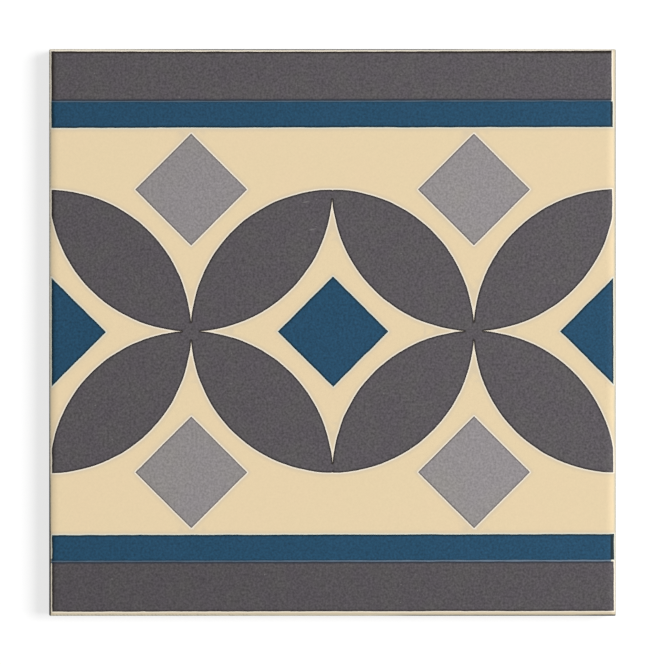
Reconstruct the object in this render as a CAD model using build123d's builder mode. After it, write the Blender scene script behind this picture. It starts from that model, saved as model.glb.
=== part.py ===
from build123d import *
import os
from math import degrees, asin, sqrt

# Square pressed floor tile in one piece, lying on its keyed back with the glazed face up
# Millimetres, +Z up, with the origin in the middle of the tile at floor level

# Pressed body
tile_side = 200.0
body_height = 8.4
plan_corner_radius = 0.5
heel_bevel = 0.6

# Cushioned rim of the face, a wide arc that ends in a tight one at the side
cushion_width = 3.2
cushion_drop = 0.65
arris_radius = 0.4

# Keyed back, rows of shallow pockets between ribs, inside a flat rim
rim_land = 9.5
rib_width = 3.4
pocket_rows = 10
pocket_depth = 0.8
pocket_corner_cut = 1.2
pocket_draft = 30.0

# Printed glazes, which stand proud of the ground glaze
print_relief = 0.1
print_margin_x = 1.0
print_margin_y = 1.2
print_shift_y = 0.45

# Rows of circles that overlap by petals, two circles to the tile's side less an inset
circle_inset = 0.5
petal_spread = 0.1
light_diamond_reach = 19.75
blue_diamond_reach = 19.5

# Border stripes above and below the circles
stripe_clearance = 2.2
stripe_height = 9.2
screen_gap = 0.1

# Sizes that follow from these
half_side = tile_side / 2
cushion_radius = (cushion_width**2 + cushion_drop**2) / (2 * cushion_drop)
cushion_angle = degrees(asin(cushion_width / cushion_radius))
pocket_pitch = (tile_side - 2 * rim_land + rib_width) / pocket_rows
pocket_side = pocket_pitch - rib_width
print_width = tile_side - 2 * print_margin_x
print_height = tile_side - 2 * print_margin_y
circle_pitch = (tile_side - circle_inset) / 2
circle_radius = circle_pitch / 2 + petal_spread
petal_circle_offset = circle_pitch / (2 * sqrt(2))
stripe_start = circle_pitch / 2 + light_diamond_reach + stripe_clearance
band_start = stripe_start + stripe_height + screen_gap
band_height = print_height / 2 - band_start
print_level = body_height / 2


def tile_section(height):
    """Return the upright section of the tile, whose rim rolls down from this height."""
    with BuildSketch() as section:
        with BuildLine():
            base = Line((0, 0), (half_side - heel_bevel, 0))
            heel = Line(base @ 1, (half_side, heel_bevel))
            roll = JernArc((half_side - cushion_width, height), (1, 0), cushion_radius, -cushion_angle)
            Line(heel @ 1, roll @ 1)
            Line(roll @ 0, (0, height))
            mirror(about=Plane.YZ)
        make_face()
        fillet(section.vertices().group_by(Axis.Y)[-2], arris_radius)
    return section.sketch


def cushioned_blank(height):
    """Return the square block that has this section along both of its sides."""
    section = tile_section(height)
    with BuildPart() as blank:
        with BuildSketch(Plane.XZ):
            add(section)
        extrude(amount=tile_side, both=True)
        with BuildSketch(Plane.YZ):
            add(section)
        extrude(amount=tile_side, both=True, mode=Mode.INTERSECT)
        with BuildSketch(Plane.XY):
            RectangleRounded(tile_side, tile_side, plan_corner_radius)
        extrude(amount=height, mode=Mode.INTERSECT)
    return blank.part


# One petal, the lens that two circles share, with its tips on its own X axis
with BuildSketch() as petal:
    with Locations((0, petal_circle_offset)):
        Circle(circle_radius)
    with Locations((0, -petal_circle_offset)):
        Circle(circle_radius, mode=Mode.INTERSECT)

# A quarter of the printed figure, mirrored twice
with BuildSketch() as figure:
    with Locations(
        Location((circle_pitch / 4, circle_pitch / 4, 0), (0, 0, -45)),
        Location((circle_pitch * 3 / 4, circle_pitch / 4, 0), (0, 0, 45)),
    ):
        add(petal.sketch)
    with Locations((circle_pitch / 2, circle_pitch / 2)):
        RegularPolygon(light_diamond_reach, 4, rotation=0)
    with Locations((0, 0), (circle_pitch, 0)):
        RegularPolygon(blue_diamond_reach, 4, rotation=0)
    mirror(about=Plane.XZ)
    mirror(about=Plane.YZ)
    with Locations((0, stripe_start), (0, -stripe_start - stripe_height)):
        Rectangle(print_width, stripe_height, align=(Align.CENTER, Align.MIN))
    with Locations((0, band_start), (0, -band_start - band_height)):
        Rectangle(print_width, band_height, align=(Align.CENTER, Align.MIN))
    Rectangle(print_width, print_height, mode=Mode.INTERSECT)

# The printed glazes follow the cushioned face, higher by their relief
with BuildPart() as printed_glazes:
    with BuildSketch(Plane.XY.offset(print_level)):
        with Locations((0, print_shift_y)):
            add(figure.sketch)
    extrude(amount=body_height)
    add(cushioned_blank(body_height + print_relief), mode=Mode.INTERSECT)

# Mouth of one pocket, its corners cut
with BuildSketch() as pocket_mouth:
    Rectangle(pocket_side, pocket_side)
    chamfer(pocket_mouth.vertices(), pocket_corner_cut)

with BuildPart() as floor_tile:
    add(cushioned_blank(body_height))
    add(printed_glazes.part)
    with BuildSketch(Plane.XY):
        with GridLocations(pocket_pitch, pocket_pitch, pocket_rows, pocket_rows):
            add(pocket_mouth.sketch)
    extrude(amount=pocket_depth, taper=pocket_draft, mode=Mode.SUBTRACT)

os.makedirs("parts", exist_ok=True)
floor_tile.part.label = "floor_tile"
export_step(floor_tile.part, "parts/floor_tile.step")
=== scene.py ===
# Printed floor tile: a pressed and keyed body under a cream ground glaze and three printed glazes
import logging
import math
from collections import deque
from collections.abc import Sequence
from dataclasses import dataclass
from enum import Enum, IntEnum

import bpy
import numpy as np
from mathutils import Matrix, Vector, noise
from mathutils.geometry import delaunay_2d_cdt
from mathutils.kdtree import KDTree


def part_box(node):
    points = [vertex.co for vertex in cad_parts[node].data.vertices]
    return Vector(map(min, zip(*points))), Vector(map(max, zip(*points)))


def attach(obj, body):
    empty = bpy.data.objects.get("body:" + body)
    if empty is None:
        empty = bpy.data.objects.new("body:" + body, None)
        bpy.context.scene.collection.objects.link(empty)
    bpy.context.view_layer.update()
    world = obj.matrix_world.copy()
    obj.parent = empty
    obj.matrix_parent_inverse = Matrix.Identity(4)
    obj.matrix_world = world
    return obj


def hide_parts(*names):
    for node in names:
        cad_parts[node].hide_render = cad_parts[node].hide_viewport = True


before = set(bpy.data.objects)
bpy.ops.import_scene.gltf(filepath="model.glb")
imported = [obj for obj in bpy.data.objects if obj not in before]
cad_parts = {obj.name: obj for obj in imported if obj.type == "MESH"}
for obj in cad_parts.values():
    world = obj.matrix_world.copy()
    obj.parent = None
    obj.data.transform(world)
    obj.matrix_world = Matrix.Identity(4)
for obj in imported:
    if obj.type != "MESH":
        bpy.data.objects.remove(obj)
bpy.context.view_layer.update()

log = logging.getLogger("floor_tile")

MM = 0.001
NODE = "floor_tile"
UV_MAP = "OFBake"
SEAM = -1
SIDE_STEPS = 160
CORNER_STEPS = 6
SAME_POINT = 1e-5
ON_LINE = 0.01
FAR = 10.0

Point = tuple[float, float]
Colour = tuple[float, float, float, float]
Socket = bpy.types.NodeSocket

WHITE: Colour = (1.0, 1.0, 1.0, 1.0)


class Surface(IntEnum):
    """What the tile's skin is at a place, in the order of its material slots."""

    GROUND = 0
    CHARCOAL = 1
    BLUE = 2
    LIGHT_GREY = 3
    BISCUIT = 4


class Zone(IntEnum):
    """Which part of the pressed body a vertex belongs to."""

    FACE = 0
    SIDE = 1
    BACK = 2


class Side(Enum):
    """A side of the tile: the axis it faces along, and which way."""

    LEFT = (0, -1)
    RIGHT = (0, 1)
    LOWER = (1, -1)
    UPPER = (1, 1)


def linear(red: int, green: int, blue: int) -> Colour:
    """Turn a colour as a screen shows it, 0 to 255, into linear light.

    Args:
        red: Red of the shown colour.
        green: Green of the shown colour.
        blue: Blue of the shown colour.

    Returns:
        Linear red, green and blue with an alpha of 1.
    """

    def channel(value: int) -> float:
        """Undo the curve of a standard RGB screen for one channel."""
        share = value / 255
        return share / 12.92 if share <= 0.04045 else ((share + 0.055) / 1.055) ** 2.4

    return channel(red), channel(green), channel(blue), 1.0


@dataclass(frozen=True)
class BodySizes:
    """Sizes of the pressed body in millimetres, the outer ones read from the CAD box."""

    half_side: float
    height: float
    print_relief: float = 0.1
    print_shoulder: float = 0.14
    plan_corner_radius: float = 0.5
    heel_bevel: float = 0.6
    cushion_width: float = 3.2
    cushion_drop: float = 0.65
    arris_radius: float = 0.4
    corner_blend: float = 3.0
    rim_land: float = 9.5
    rib_width: float = 3.4
    pocket_rows: int = 10
    pocket_depth: float = 0.8
    pocket_corner_radius: float = 1.6
    glaze_line: float = 6.2
    glaze_line_wander: float = 0.45
    glaze_line_wave: float = 6.0
    glaze_line_reach: float = 0.6

    @property
    def cushion_radius(self) -> float:
        """Radius of the wide arc that rolls the face down."""
        return (self.cushion_width**2 + self.cushion_drop**2) / (2 * self.cushion_drop)

    @property
    def arris_fall(self) -> float:
        """How far the end of the tight arc on the side lies below the face.

        Returns:
            The fall in millimetres.
        """
        inner = self.cushion_radius - self.arris_radius
        run = self.cushion_width - self.arris_radius
        return self.cushion_radius - math.sqrt(inner**2 - run**2)

    @property
    def arris_end(self) -> float:
        """Distance from the side at which the tight arc meets the wide one."""
        run = self.cushion_width - self.arris_radius
        return self.arris_radius * (1 - run / (self.cushion_radius - self.arris_radius))

    @property
    def pocket_pitch(self) -> float:
        """Distance from pocket to pocket."""
        return (2 * self.half_side - 2 * self.rim_land + self.rib_width) / self.pocket_rows

    @property
    def pocket_side(self) -> float:
        """Width of a pocket's mouth."""
        return self.pocket_pitch - self.rib_width


@dataclass(frozen=True)
class Screen:
    """One printing screen: its field, how it sits and how its edges wander, in millimetres.

    The four reaches go from the figure's middle to the borders. The right border leans out by the
    lean for each millimetre further down, and the upper one sags by the sag in its middle.
    """

    glaze: Surface
    left: float
    right: float
    upper: float
    lower: float
    shift: Point
    turn: float
    wander: float
    seed: float
    lean: float = 0.0
    sag: float = 0.0
    wander_length: float = 5.0


@dataclass(frozen=True)
class FigureSizes:
    """Sizes of the printed figure in millimetres."""

    circle_pitch: float = 99.75
    blue_pitch: float = 99.6
    blue_drop: float = 0.2
    petal_spread: float = 0.0
    tip_spread: float = 0.15
    tip_length: float = 8.0
    tip_full: float = 0.35
    arc_points: int = 160
    light_reach: float = 19.75
    blue_reach: float = 19.5
    stripe_clearance: float = 2.19
    stripe_height: float = 9.05
    screen_gap: float = 0.48
    print_height: float = 197.6
    step: float = 0.5

    @property
    def stripe_start(self) -> float:
        """Distance from the figure's middle to the near edge of a stripe."""
        return self.circle_pitch / 2 + self.light_reach + self.stripe_clearance

    @property
    def band_start(self) -> float:
        """Distance from the figure's middle to the near edge of a band."""
        return self.stripe_start + self.stripe_height + self.screen_gap

    @property
    def seam_middle(self) -> float:
        """Distance from the figure's middle to the middle of the seam between stripe and band."""
        return self.band_start - 0.5 * self.screen_gap


class NodeSheet:
    """A node tree with short methods for the nodes that this tile's trees use.

    The mix node has sockets for numbers, vectors and colours; a mix of colours takes these.
    """

    COLOUR_MIX_INPUTS = (0, 6, 7)
    COLOUR_MIX_OUTPUT = 2
    SAME_NUMBER = 0.1

    def __init__(self, tree: bpy.types.NodeTree) -> None:
        """Take over an existing tree."""
        self.tree = tree

    def node(self, kind: str, **settings: object) -> bpy.types.Node:
        """Add a node.

        Args:
            kind: Blender's name of the node type.
            **settings: Properties to set on the node.

        Returns:
            The new node.
        """
        made = self.tree.nodes.new(kind)
        for name, value in settings.items():
            setattr(made, name, value)
        return made

    def feed(self, socket: Socket, value: object) -> None:
        """Link a socket to another, or set it to a constant.

        Args:
            socket: The input to feed.
            value: An output to link, a constant, or None to leave the input as it is.
        """
        if isinstance(value, bpy.types.NodeSocket):
            self.tree.links.new(value, socket)
        elif value is not None:
            socket.default_value = value

    def fill(self, node: bpy.types.Node, **values: object) -> bpy.types.Node:
        """Feed several inputs of a node.

        Args:
            node: The node.
            **values: A value for each input, by its name with underscores for spaces.

        Returns:
            The same node.
        """
        for name, value in values.items():
            self.feed(node.inputs[name.replace("_", " ")], value)
        return node

    def math(self, operation: str, *values: object) -> Socket:
        """Add a Math node.

        Args:
            operation: Blender's name of the operation.
            *values: Its inputs, outputs of other nodes or constants.

        Returns:
            Its result.
        """
        made = self.node("ShaderNodeMath", operation=operation)
        for socket, value in zip(made.inputs, values):
            self.feed(socket, value)
        return made.outputs[0]

    def total(self, first: object, *others: object) -> Socket:
        """Add several values.

        Args:
            first: The first value.
            *others: What is added to it.

        Returns:
            The sum.
        """
        for other in others:
            first = self.math("ADD", first, other)
        return first

    def axes(self, vector: Socket) -> tuple[Socket, Socket, Socket]:
        """Split a vector.

        Args:
            vector: The vector.

        Returns:
            Its X, Y and Z.
        """
        made = self.node("ShaderNodeSeparateXYZ")
        self.feed(made.inputs[0], vector)
        return made.outputs[0], made.outputs[1], made.outputs[2]

    def vector(self, x: object, y: object, z: object) -> Socket:
        """Combine three values into a vector.

        Args:
            x: Value along X.
            y: Value along Y.
            z: Value along Z.

        Returns:
            The vector.
        """
        made = self.node("ShaderNodeCombineXYZ")
        for socket, value in zip(made.inputs, (x, y, z)):
            self.feed(socket, value)
        return made.outputs[0]

    def ramp(self, value: object, low: float, high: float, start: float, end: float) -> Socket:
        """Map a value smoothly from one range to another, held at both ends.

        Args:
            value: What is mapped.
            low: Where the range starts.
            high: Where the range ends.
            start: Result at and before the start.
            end: Result at and after the end.

        Returns:
            The mapped value.
        """
        made = self.node("ShaderNodeMapRange", interpolation_type="SMOOTHSTEP")
        for socket, number in zip(made.inputs, (value, low, high, start, end)):
            self.feed(socket, number)
        return made.outputs[0]

    def mix(self, share: object, first: object, second: object) -> Socket:
        """Mix two colours.

        Args:
            share: Share of the second colour, 0 to 1.
            first: The first colour.
            second: The second colour.

        Returns:
            The mixed colour.
        """
        made = self.node("ShaderNodeMix", data_type="RGBA")
        for index, value in zip(self.COLOUR_MIX_INPUTS, (share, first, second)):
            self.feed(made.inputs[index], value)
        return made.outputs[self.COLOUR_MIX_OUTPUT]

    def noise(self, place: Socket, grain: float, detail: float = 2.0, offset: float = 0.0) -> Socket:
        """Add noise whose blots measure about one grain.

        Args:
            place: Where the noise is read.
            grain: Size of a blot, in the tree's units.
            detail: How many finer layers lie on it.
            offset: A number that gives each use its own pattern.

        Returns:
            The noise, 0 to 1.
        """
        made = self.node("ShaderNodeTexNoise", noise_dimensions="4D")
        self.fill(made, Vector=place, W=offset, Scale=1 / grain, Detail=detail)
        return made.outputs[0]


class GeometrySheet(NodeSheet):
    """A Geometry Nodes tree with named inputs that is run once on a mesh."""

    MERGE_REACH = 1e-4

    def __init__(self, name: str) -> None:
        """Start a tree with a geometry in and a geometry out.

        Args:
            name: The tree's name.
        """
        super().__init__(bpy.data.node_groups.new(name, "GeometryNodeTree"))
        self.tree.is_modifier = True
        self.tree.interface.new_socket("Geometry", in_out="OUTPUT", socket_type="NodeSocketGeometry")
        self.tree.interface.new_socket("Geometry", in_out="INPUT", socket_type="NodeSocketGeometry")
        self.way_in = self.node("NodeGroupInput")
        self.way_out = self.node("NodeGroupOutput")
        self.values: dict[str, object] = {}

    def size(self, name: str, value: float) -> Socket:
        """Add a named number input.

        Args:
            name: The input's name.
            value: The number that the run will use.

        Returns:
            The input inside the tree.
        """
        socket = self.tree.interface.new_socket(name, in_out="INPUT", socket_type="NodeSocketFloat")
        self.values[socket.identifier] = float(value)
        return self.way_in.outputs[name]

    def count(self, name: str, value: int) -> Socket:
        """Add a named whole number input.

        Args:
            name: The input's name.
            value: The number that the run will use.

        Returns:
            The input inside the tree.
        """
        socket = self.tree.interface.new_socket(name, in_out="INPUT", socket_type="NodeSocketInt")
        self.values[socket.identifier] = int(value)
        return self.way_in.outputs[name]

    def attribute(self, name: str, data_type: str = "FLOAT") -> Socket:
        """Read a named attribute of the geometry.

        Args:
            name: The attribute's name.
            data_type: Its type.

        Returns:
            Its value.
        """
        made = self.node("GeometryNodeInputNamedAttribute", data_type=data_type)
        made.inputs["Name"].default_value = name
        return made.outputs["Attribute"]

    def store(self, geometry: Socket, name: str, value: object, kind: str = "FLOAT") -> Socket:
        """Store a named attribute on the points of a geometry.

        Args:
            geometry: The geometry.
            name: The attribute's name.
            value: Its value.
            kind: Its type.

        Returns:
            The geometry with the attribute.
        """
        made = self.node("GeometryNodeStoreNamedAttribute", data_type=kind, domain="POINT")
        self.fill(made, Geometry=geometry, Name=name, Value=value)
        return made.outputs[0]

    def moved(self, geometry: Socket, shift: object = None, turn: object = None) -> Socket:
        """Move and turn a geometry.

        Args:
            geometry: The geometry.
            shift: How far it moves, or None.
            turn: How far it turns about each axis, or None.

        Returns:
            The geometry in its new place.
        """
        made = self.fill(self.node("GeometryNodeTransform"), Geometry=geometry)
        self.feed(made.inputs["Translation"], shift)
        self.feed(made.inputs["Rotation"], turn)
        return made.outputs[0]

    def join(self, *parts: Socket) -> Socket:
        """Join several geometries.

        Args:
            *parts: The geometries.

        Returns:
            All of them as one.
        """
        made = self.node("GeometryNodeJoinGeometry")
        for part in parts:
            self.tree.links.new(part, made.inputs[0])
        return made.outputs[0]

    def outline(self, curve: Socket) -> Socket:
        """Turn a curve into a loop of edges whose ends are merged.

        Args:
            curve: The curve.

        Returns:
            The edges.
        """
        mesh = self.fill(self.node("GeometryNodeCurveToMesh"), Curve=curve)
        merged = self.node("GeometryNodeMergeByDistance")
        return self.fill(merged, Geometry=mesh.outputs[0], Distance=self.MERGE_REACH).outputs[0]

    def repeat(self, points: Socket, motif: Socket, turn: object = None) -> Socket:
        """Put a motif at every point.

        Args:
            points: The points.
            motif: What stands at each of them.
            turn: How it turns at each point, or None.

        Returns:
            The motifs as instances.
        """
        made = self.fill(self.node("GeometryNodeInstanceOnPoints"), Points=points, Instance=motif)
        self.feed(made.inputs["Rotation"], turn)
        return made.outputs[0]

    def finish(self, geometry: Socket, materials: Sequence[bpy.types.Material], by: str) -> None:
        """End the tree: realize instances, then set each material.

        Args:
            geometry: What the tree has made.
            materials: One material for each value of the attribute.
            by: Name of the whole number attribute that chooses the material.
        """
        realized = self.fill(self.node("GeometryNodeRealizeInstances"), Geometry=geometry).outputs[0]
        skin = self.attribute(by, "INT")
        for index, material in enumerate(materials):
            chosen = self.node("FunctionNodeCompare", data_type="INT", operation="EQUAL")
            self.feed(chosen.inputs[2], skin)
            self.feed(chosen.inputs[3], index)
            painted = self.node("GeometryNodeSetMaterial")
            self.fill(painted, Geometry=realized, Selection=chosen.outputs[0], Material=material)
            realized = painted.outputs[0]
        self.tree.links.new(realized, self.way_out.inputs[0])

    def run(self, mesh: bpy.types.Mesh) -> bpy.types.Mesh:
        """Run the tree on a mesh.

        Args:
            mesh: The mesh that goes in.

        Returns:
            The tree's result as a plain mesh.
        """
        carrier = bpy.data.objects.new(self.tree.name, mesh)
        bpy.context.scene.collection.objects.link(carrier)
        modifier = carrier.modifiers.new(self.tree.name, "NODES")
        modifier.node_group = self.tree
        for identifier, value in self.values.items():
            modifier[identifier] = value
        graph = bpy.context.evaluated_depsgraph_get()
        result = bpy.data.meshes.new_from_object(
            carrier.evaluated_get(graph), preserve_all_data_layers=True, depsgraph=graph
        )
        carrier.modifiers.remove(modifier)
        bpy.data.objects.remove(carrier)
        return result


def loops_of(mesh: bpy.types.Mesh) -> list[tuple[np.ndarray, int]]:
    """Read the closed loops of edges in a mesh.

    Args:
        mesh: Edges only, each vertex on one loop, with a whole number attribute named label.

    Returns:
        For each loop its points in order, in millimetres, and its label.
    """
    places = np.empty(len(mesh.vertices) * 3)
    mesh.vertices.foreach_get("co", places)
    places = places.reshape(-1, 3)[:, :2]
    labels = mesh.attributes["label"].data
    beside: dict[int, list[int]] = {index: [] for index in range(len(places))}
    for edge in mesh.edges:
        first, second = edge.vertices
        beside[first].append(second)
        beside[second].append(first)
    waiting = set(beside)
    loops = []
    while waiting:
        start = min(waiting)
        order, here = [start], start
        waiting.remove(start)
        while following := [other for other in beside[here] if other in waiting]:
            here = following[0]
            waiting.remove(here)
            order.append(here)
        loops.append((places[order], labels[start].value))
    return loops


def clipped(points: np.ndarray, screen: Screen) -> np.ndarray:
    """Cut a convex outline to a screen's field about the origin.

    Args:
        points: The outline's corners in order.
        screen: The screen that prints the outline.

    Returns:
        The corners of what lies inside.
    """
    borders = (
        ((1, screen.lean), screen.right),
        ((-1, 0), screen.left),
        ((0, 1), screen.upper),
        ((0, -1), screen.lower),
    )
    for normal, reach in borders:
        depth = reach - points @ np.array(normal, float)
        kept = []
        for index, point in enumerate(points):
            before = points[index - 1]
            if (depth[index - 1] >= 0) != (depth[index] >= 0):
                share = depth[index - 1] / (depth[index - 1] - depth[index])
                kept.append(before + share * (point - before))
            if depth[index] >= 0:
                kept.append(point)
        points = np.array(kept)
    return points


def divided(points: np.ndarray, step: float) -> np.ndarray:
    """Divide a closed outline's edges so that none is longer than a step.

    Args:
        points: The outline's corners in order.
        step: The most that an edge may measure.

    Returns:
        The corners with the points between them.
    """
    pieces = []
    for start, end in zip(points, np.roll(points, -1, axis=0)):
        count = max(1, math.ceil(np.linalg.norm(end - start) / step))
        shares = np.arange(count)[:, None] / count
        pieces.append(start + shares * (end - start))
    return np.concatenate(pieces)


def inside(outline: np.ndarray, place: np.ndarray) -> bool:
    """Tell whether a place lies inside a closed outline.

    Args:
        outline: The outline's corners in order.
        place: X and Y of the place.

    Returns:
        True where it lies inside.
    """
    start, end = outline, np.roll(outline, -1, axis=0)
    spans = (start[:, 1] > place[1]) != (end[:, 1] > place[1])
    start, end = start[spans], end[spans]
    share = (place[1] - start[:, 1]) / (end[:, 1] - start[:, 1])
    crossing = start[:, 0] + share * (end[:, 0] - start[:, 0])
    return bool(np.count_nonzero(crossing > place[0]) % 2)


def rounded_ring(half: float, radius: float, side_steps: int, corner_steps: int) -> np.ndarray:
    """Points round a square with rounded corners, anticlockwise from the right end of its top right arc.

    Args:
        half: Half of the square's side.
        radius: Radius of its corners.
        side_steps: Steps along each straight side.
        corner_steps: Steps round each corner.

    Returns:
        One row of X and Y for each point.
    """
    ring = []
    for quarter in range(4):
        angles = math.pi / 2 * (quarter + np.arange(corner_steps) / corner_steps)
        signs = np.array([(1, 1), (-1, 1), (-1, -1), (1, -1)][quarter])
        arc = signs * (half - radius) + radius * np.stack([np.cos(angles), np.sin(angles)], 1)
        end_angle = math.pi / 2 * (quarter + 1)
        start = signs * (half - radius) + radius * np.array([math.cos(end_angle), math.sin(end_angle)])
        following = np.array([(-1, 1), (-1, -1), (1, -1), (1, 1)][quarter])
        end = following * (half - radius) + radius * np.array([math.cos(end_angle), math.sin(end_angle)])
        shares = np.arange(side_steps)[:, None] / side_steps
        ring += [arc, start + shares * (end - start)]
    return np.concatenate(ring)


@dataclass
class Plan:
    """A flat triangulated plan, in millimetres."""

    places: np.ndarray
    triangles: np.ndarray
    index_of: np.ndarray
    borders: set[tuple[int, int]]


def triangulate(places: np.ndarray, edges: np.ndarray) -> Plan:
    """Triangulate points so that the given edges are kept.

    Args:
        places: One row of X and Y for each point.
        edges: Pairs of point numbers.

    Returns:
        The plan. Its index_of gives the new number of each given point, and its borders are the
        pairs of new points that the given edges, or pieces of them, join.
    """
    found = delaunay_2d_cdt([Vector(place) for place in places], edges.tolist(), [], 0, SAME_POINT, True)
    index_of = np.full(len(places), -1)
    for number, sources in enumerate(found[3]):
        index_of[sources] = number
    borders = {tuple(sorted(pair)) for pair, sources in zip(found[1], found[4]) if sources}
    return Plan(np.array([tuple(place) for place in found[0]]), np.array(found[2]), index_of, borders)


def closed_edges(start: int, count: int) -> np.ndarray:
    """Edges that join count points in a closed loop, the first of them numbered start."""
    order = np.arange(count)
    return np.stack([order, (order + 1) % count], 1) + start


@dataclass
class PrintedFigure:
    """The printed glazes: petals and bands, stripes and diamonds, from three screens.

    The seed fixes the draw from which the edges wander.
    """

    sizes: FigureSizes
    screens: tuple[Screen, ...]
    materials: list[bpy.types.Material]
    seed: int = 5

    def draw(self) -> list[tuple[np.ndarray, int]]:
        """Draw every motif's outline with a tree that repeats one of each kind.

        Returns:
            The outlines with the glaze of each.
        """
        sheet = GeometrySheet("printed_figure")
        pitch = sheet.size("Circle Pitch", self.sizes.circle_pitch)
        spread = sheet.size("Petal Spread", self.sizes.petal_spread)
        radius = sheet.math("MULTIPLY_ADD", pitch, 0.5, spread)
        kinds = (
            self._petals(sheet, pitch, radius),
            self._diamonds(sheet, pitch),
            self._stripes(sheet),
        )
        sheet.finish(sheet.join(*kinds), self.materials, "label")
        return loops_of(sheet.run(bpy.data.meshes.new("printed_figure")))

    def _petals(self, sheet: GeometrySheet, pitch: Socket, radius: Socket) -> Socket:
        """Make one petal from two arcs and repeat it, its slope alternating over the grid.

        Args:
            sheet: The figure's tree.
            pitch: Distance from circle to circle.
            radius: Radius of a circle.

        Returns:
            The petals as instances.
        """
        offset = sheet.math("DIVIDE", pitch, 2 * math.sqrt(2))
        half_sweep = sheet.math("ARCCOSINE", sheet.math("DIVIDE", offset, radius))
        arc = sheet.node("GeometryNodeCurveArc")
        sheet.fill(
            arc,
            Resolution=sheet.count("Arc Points", self.sizes.arc_points),
            Radius=radius,
            Start_Angle=sheet.math("SUBTRACT", math.pi / 2, half_sweep),
            Sweep_Angle=sheet.math("MULTIPLY", half_sweep, 2.0),
        )
        upper = sheet.moved(arc.outputs[0], sheet.vector(0.0, sheet.math("MULTIPLY", offset, -1.0), 0.0))
        petal = sheet.outline(sheet.join(upper, sheet.moved(upper, turn=(0.0, 0.0, math.pi))))
        x, y, _ = sheet.axes(sheet.node("GeometryNodeInputPosition").outputs[0])
        from_tip = sheet.math("SUBTRACT", offset, sheet.math("ABSOLUTE", x))
        to_tip = sheet.math("DIVIDE", from_tip, sheet.size("Tip Length", self.sizes.tip_length))
        most = sheet.size("Tip Spread", self.sizes.tip_spread)
        near_tip = sheet.ramp(to_tip, self.sizes.tip_full, 1.0, 1.0, 0.0)
        spread = sheet.math("MULTIPLY", near_tip, most)
        outward = sheet.math("MULTIPLY", sheet.math("SIGN", y), spread)
        swollen = sheet.node("GeometryNodeSetPosition")
        sheet.fill(swollen, Geometry=petal, Offset=sheet.vector(0.0, outward, 0.0))
        petal = sheet.store(swollen.outputs[0], "label", int(Surface.CHARCOAL), "INT")
        columns, rows = 4, 2
        grid = sheet.node("GeometryNodeMeshGrid")
        sheet.fill(
            grid,
            Size_X=sheet.math("MULTIPLY", pitch, (columns - 1) / 2),
            Size_Y=sheet.math("MULTIPLY", pitch, (rows - 1) / 2),
            Vertices_X=columns,
            Vertices_Y=rows,
        )
        index = sheet.node("GeometryNodeInputIndex").outputs[0]
        column = sheet.math("FLOOR", sheet.math("DIVIDE", index, float(rows)))
        parity = sheet.math("MODULO", sheet.total(column, index), 2.0)
        slope = sheet.math("MULTIPLY_ADD", parity, -math.pi / 2, math.pi / 4)
        return sheet.repeat(grid.outputs[0], petal, sheet.vector(0.0, 0.0, slope))

    def _diamonds(self, sheet: GeometrySheet, pitch: Socket) -> Socket:
        """Repeat the light diamonds over a square and the blue ones along the middle row.

        Args:
            sheet: The figure's tree.
            pitch: Distance from circle to circle.

        Returns:
            The diamonds as instances.
        """
        parts = []
        for name, reach, glaze in (
            ("Light Reach", self.sizes.light_reach, Surface.LIGHT_GREY),
            ("Blue Reach", self.sizes.blue_reach, Surface.BLUE),
        ):
            outline = sheet.node("GeometryNodeCurvePrimitiveCircle")
            sheet.fill(outline, Resolution=4, Radius=sheet.size(name, reach))
            motif = sheet.store(sheet.outline(outline.outputs[0]), "label", int(glaze), "INT")
            grid = sheet.node("GeometryNodeMeshGrid")
            if glaze is Surface.LIGHT_GREY:
                sheet.fill(grid, Size_X=pitch, Size_Y=pitch, Vertices_X=2, Vertices_Y=2)
                places = grid.outputs[0]
            else:
                row = sheet.node("GeometryNodeMeshLine")
                apart = sheet.size("Blue Pitch", self.sizes.blue_pitch)
                drop = sheet.size("Blue Drop", self.sizes.blue_drop)
                first, fall = (sheet.math("MULTIPLY", number, -1.0) for number in (apart, drop))
                sheet.fill(row, Count=3, Start_Location=sheet.vector(first, fall, 0.0))
                sheet.feed(row.inputs["Offset"], sheet.vector(apart, 0.0, 0.0))
                places = row.outputs[0]
            parts.append(sheet.repeat(places, motif))
        return sheet.join(*parts)

    def _stripes(self, sheet: GeometrySheet) -> Socket:
        """Repeat the blue stripe and the charcoal band above and below the middle.

        Args:
            sheet: The figure's tree.

        Returns:
            The stripes and bands as instances.
        """
        sizes = self.sizes
        wide = 4 * sizes.circle_pitch
        parts = []
        for name, start, end, glaze in (
            ("Stripe", sizes.stripe_start, sizes.stripe_start + sizes.stripe_height, Surface.BLUE),
            ("Band", sizes.band_start, sizes.print_height, Surface.CHARCOAL),
        ):
            near, far = sheet.size(f"{name} Start", start), sheet.size(f"{name} End", end)
            outline = sheet.node("GeometryNodeCurvePrimitiveQuadrilateral")
            sheet.fill(outline, Width=wide, Height=sheet.math("SUBTRACT", far, near))
            motif = sheet.store(sheet.outline(outline.outputs[0]), "label", int(glaze), "INT")
            middle = sheet.math("MULTIPLY", sheet.total(near, far), 0.5)
            row = sheet.node("GeometryNodeMeshLine")
            lower = sheet.math("MULTIPLY", middle, -1.0)
            sheet.fill(row, Count=2, Start_Location=sheet.vector(0.0, lower, 0.0))
            sheet.feed(row.inputs["Offset"], sheet.vector(0.0, sheet.math("MULTIPLY", middle, 2.0), 0.0))
            parts.append(sheet.repeat(row.outputs[0], motif))
        return sheet.join(*parts)

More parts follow.
